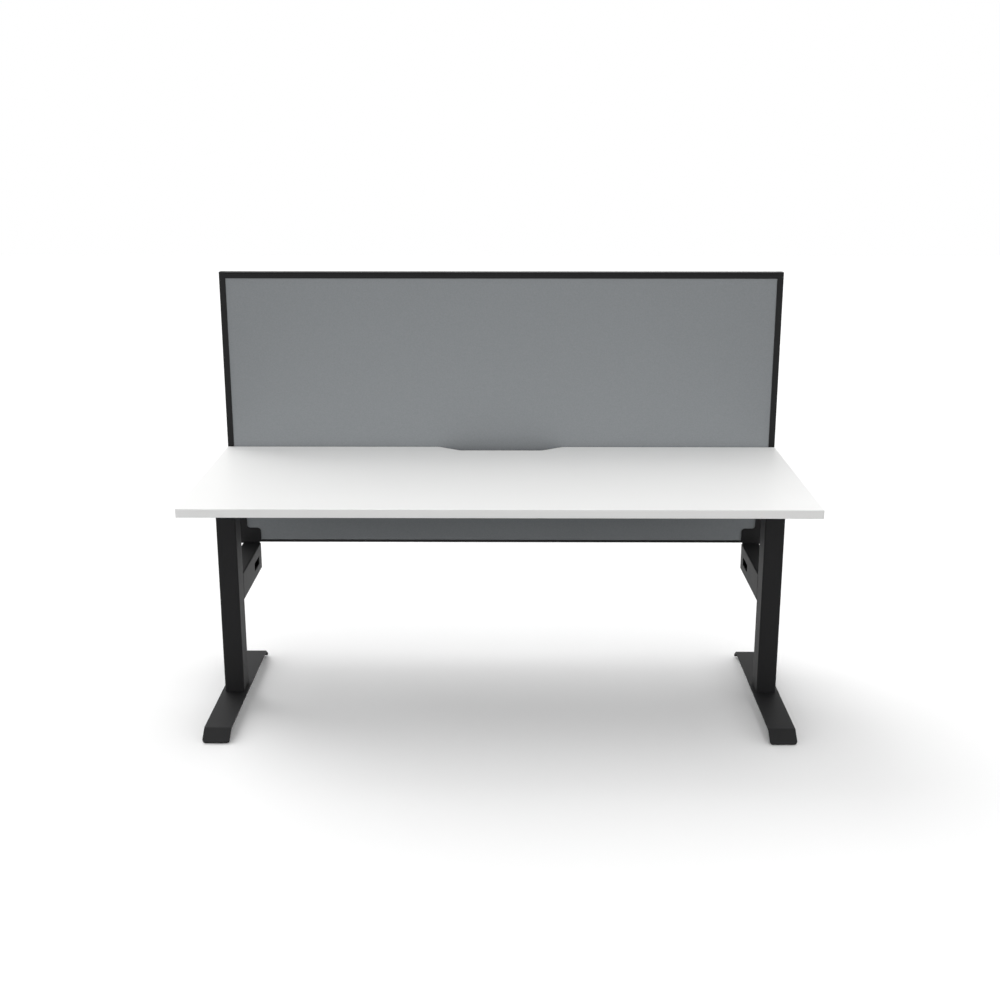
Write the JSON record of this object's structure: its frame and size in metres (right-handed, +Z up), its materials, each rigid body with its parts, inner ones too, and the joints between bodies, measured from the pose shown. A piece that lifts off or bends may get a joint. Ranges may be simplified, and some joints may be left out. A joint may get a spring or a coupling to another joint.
{
  "type": "office workstation",
  "caption": "Rectangular office desk on T-legs with bent plate feet, a scalloped rear edge for cables and a fabric screen on folded brackets behind it.",
  "frame": {"origin": "on the floor under the middle of the desk's overall box", "axes": "+X to the user's right along the worktop, +Y away from the user towards the screen, +Z up"},
  "size_m": [1.8, 0.783, 1.3],
  "materials": {
    "white_board": "white melamine-faced board, satin with a fine grain",
    "white_edge": "white ABS edge band, satin",
    "black_steel": "black powder coat, fine texture",
    "black_rail": "extruded aluminium, black powder coat",
    "grey_fabric": "mid grey woven screen fabric",
    "core_board": "raw fibre board, hidden",
    "black_nylon": "moulded black nylon",
    "zinc_steel": "zinc-plated steel"
  },
  "bodies": {
    "desk": {"bracket_bolts": "zinc_steel", "bracket_bottom_left": "black_steel", "bracket_bottom_right": "black_steel", "bracket_end_left": "black_steel", "bracket_end_right": "black_steel", "bracket_nuts": "zinc_steel", "column_base_left": "black_steel", "column_base_right": "black_steel", "column_left": "black_steel", "column_right": "black_steel", "edge_band_front": "white_edge", "edge_band_left": "white_edge", "edge_band_rear": "white_edge", "edge_band_right": "white_edge", "foot_bolts": "zinc_steel", "foot_left": "black_steel", "foot_right": "black_steel", "frame_screws": "zinc_steel", "glide_nuts": "zinc_steel", "rail_bolts": "zinc_steel", "rail_front": "black_steel", "rail_nuts": "zinc_steel", "rail_plate_front_left": "black_steel", "rail_plate_front_right": "black_steel", "rail_plate_rear_left": "black_steel", "rail_plate_rear_right": "black_steel", "rail_rear": "black_steel", "screen_bracket_left": "black_steel", "screen_bracket_right": "black_steel", "screen_cap_bottom_left": "black_nylon", "screen_cap_bottom_right": "black_nylon", "screen_cap_top_left": "black_nylon", "screen_cap_top_right": "black_nylon", "screen_core": "core_board", "screen_fabric_front": "grey_fabric", "screen_fabric_rear": "grey_fabric", "screen_joiner_left": "black_nylon", "screen_joiner_right": "black_nylon", "screen_rail_bottom": "black_rail", "screen_rail_left": "black_rail", "screen_rail_right": "black_rail", "screen_rail_top": "black_rail", "screen_rivet_nuts": "zinc_steel", "screen_screws": "zinc_steel", "top_arm_left": "black_steel", "top_arm_right": "black_steel", "worktop_board": "white_board", "worktop_screws": "zinc_steel"},
    "pad_front_left": {"glide_pad_front_left": "black_nylon"},
    "stud_front_left": {"glide_stud_front_left": "zinc_steel"},
    "pad_front_right": {"glide_pad_front_right": "black_nylon"},
    "stud_front_right": {"glide_stud_front_right": "zinc_steel"},
    "pad_rear_left": {"glide_pad_rear_left": "black_nylon"},
    "stud_rear_left": {"glide_stud_rear_left": "zinc_steel"},
    "pad_rear_right": {"glide_pad_rear_right": "black_nylon"},
    "stud_rear_right": {"glide_stud_rear_right": "zinc_steel"}
  },
  "joints": [
    {"name": "level_front_left", "type": "slide", "parent": "desk", "child": "pad_front_left", "axis": [0, 0, -1], "range_m": [0, 0.008]},
    {"name": "turn_front_left", "type": "hinge", "parent": "pad_front_left", "child": "stud_front_left", "pos_m": [-0.835, -0.2775, 0], "axis": [0, 0, -1], "range_deg": [0, 2304]},
    {"name": "level_front_right", "type": "slide", "parent": "desk", "child": "pad_front_right", "axis": [0, 0, -1], "range_m": [0, 0.008]},
    {"name": "turn_front_right", "type": "hinge", "parent": "pad_front_right", "child": "stud_front_right", "pos_m": [0.835, -0.2775, 0], "axis": [0, 0, -1], "range_deg": [0, 2304]},
    {"name": "level_rear_left", "type": "slide", "parent": "desk", "child": "pad_rear_left", "axis": [0, 0, -1], "range_m": [0, 0.008]},
    {"name": "turn_rear_left", "type": "hinge", "parent": "pad_rear_left", "child": "stud_rear_left", "pos_m": [-0.835, 0.2625, 0], "axis": [0, 0, -1], "range_deg": [0, 2304]},
    {"name": "level_rear_right", "type": "slide", "parent": "desk", "child": "pad_rear_right", "axis": [0, 0, -1], "range_m": [0, 0.008]},
    {"name": "turn_rear_right", "type": "hinge", "parent": "pad_rear_right", "child": "stud_rear_right", "pos_m": [0.835, 0.2625, 0], "axis": [0, 0, -1], "range_deg": [0, 2304]}
  ],
  "couplings": [
    {"joint": "level_front_left", "follows": "turn_front_left", "m_per_rad": 0.00019894},
    {"joint": "level_front_right", "follows": "turn_front_right", "m_per_rad": 0.00019894},
    {"joint": "level_rear_left", "follows": "turn_rear_left", "m_per_rad": 0.00019894},
    {"joint": "level_rear_right", "follows": "turn_rear_right", "m_per_rad": 0.00019894}
  ]
}
